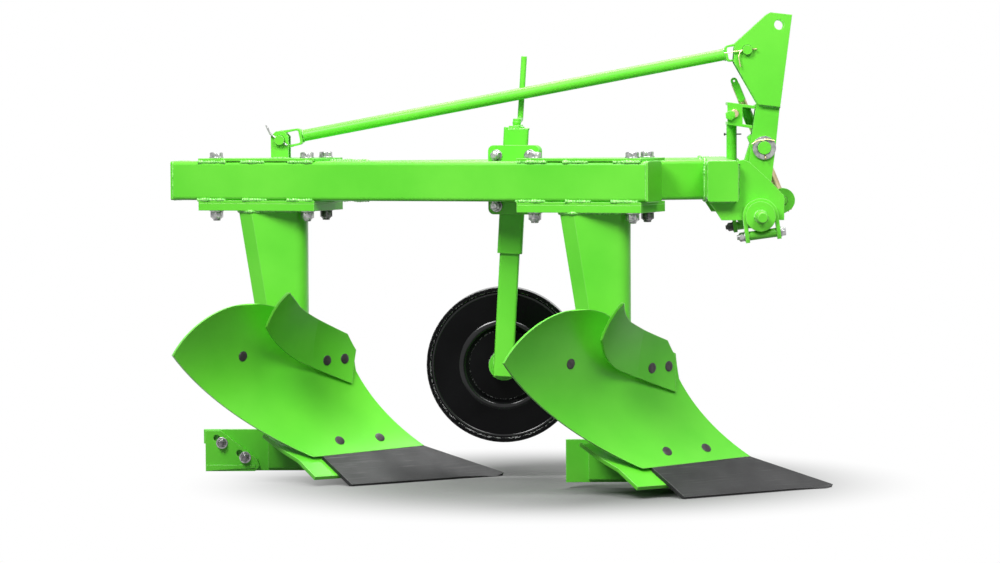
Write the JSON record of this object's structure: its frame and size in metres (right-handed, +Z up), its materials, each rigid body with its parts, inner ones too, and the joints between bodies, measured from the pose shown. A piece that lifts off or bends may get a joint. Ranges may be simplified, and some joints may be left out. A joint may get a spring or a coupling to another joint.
{
  "type": "mounted mouldboard plough",
  "caption": "Tractor-mounted mouldboard plough: slanting box-section frame, pinned mast with brace, cranked cross shaft, bodies with shares, and a depth wheel.",
  "frame": {"origin": "middle of the bounding box's footprint, on the ground", "axes": "+X the way it travels, +Y to its left, +Z up"},
  "size_m": [1.345, 1.0044, 0.9471],
  "materials": {
    "frame_green": "gloss",
    "share_steel": "satin",
    "wheel_black": "gloss",
    "yellow_zinc": "satin"
  },
  "bodies": {
    "frame": {"brace_clevis": "frame_green", "brace_front_eye": "frame_green", "brace_front_pin": "frame_green", "brace_rear_eye": "frame_green", "brace_rear_pin": "frame_green", "brace_tube": "frame_green", "cross_tube": "frame_green", "far_cross_cap": "frame_green", "far_headstock_plate": "frame_green", "far_mast_arm": "frame_green", "far_mast_plate": "frame_green", "far_strap": "frame_green", "front_beam_cap": "frame_green", "front_frog": "frame_green", "front_landside": "frame_green", "front_leg": "frame_green", "front_leg_plate": "frame_green", "front_mouldboard": "frame_green", "front_pads": "frame_green", "front_share": "share_steel", "front_stay": "frame_green", "front_trashboard": "frame_green", "link_beam": "frame_green", "main_beam": "frame_green", "mast_foot": "frame_green", "mast_pin": "frame_green", "near_cross_cap": "frame_green", "near_headstock_plate": "frame_green", "near_mast_arm": "frame_green", "near_mast_plate": "frame_green", "near_strap": "frame_green", "rear_beam_cap": "frame_green", "rear_frog": "frame_green", "rear_heel_plate": "frame_green", "rear_landside": "frame_green", "rear_leg": "frame_green", "rear_leg_plate": "frame_green", "rear_mouldboard": "frame_green", "rear_pads": "frame_green", "rear_share": "share_steel", "rear_stay": "frame_green", "rear_trashboard": "frame_green", "screw_bracket": "frame_green", "screw_nut": "frame_green", "screw_strut": "frame_green", "second_beam": "frame_green", "wheel_bracket": "frame_green", "wheel_clamp_plate": "frame_green", "wheel_crank": "frame_green", "wheel_outer_tube": "frame_green"},
    "cross_shaft": {"hitch_shaft": "frame_green", "near_hitch_pin": "frame_green", "far_hitch_crank": "frame_green", "far_hitch_pin": "frame_green", "hitch_lever": "frame_green"},
    "adjusting_screw": {"screw_rod": "yellow_zinc", "screw_handle": "frame_green"},
    "wheel_arm": {"wheel_inner_tube": "frame_green", "wheel_axle": "frame_green"},
    "wheel": {"depth_wheel": "wheel_black"}
  },
  "joints": [
    {"name": "hitch_swing", "type": "hinge", "parent": "frame", "child": "cross_shaft", "pos_m": [0.53055, 0.07369, 0.54], "axis": [0, -1, 0], "range_deg": [-2, 14]},
    {"name": "screw_travel", "type": "slide", "parent": "frame", "child": "adjusting_screw", "axis": [-0.3763, 0, 0.9265], "range_m": [-0.0025, 0.0165]},
    {"name": "depth_setting", "type": "slide", "parent": "frame", "child": "wheel_arm", "axis": [0.0586, 0, 0.9983], "range_m": [-0.03, 0.1]},
    {"name": "wheel_spin", "type": "hinge", "parent": "wheel_arm", "child": "wheel", "pos_m": [0.02003, -0.04987, 0.23312], "axis": [0, 1, 0], "continuous": true}
  ],
  "couplings": [
    {"joint": "screw_travel", "follows": "hitch_swing", "m_per_rad": 0.0667}
  ]
}
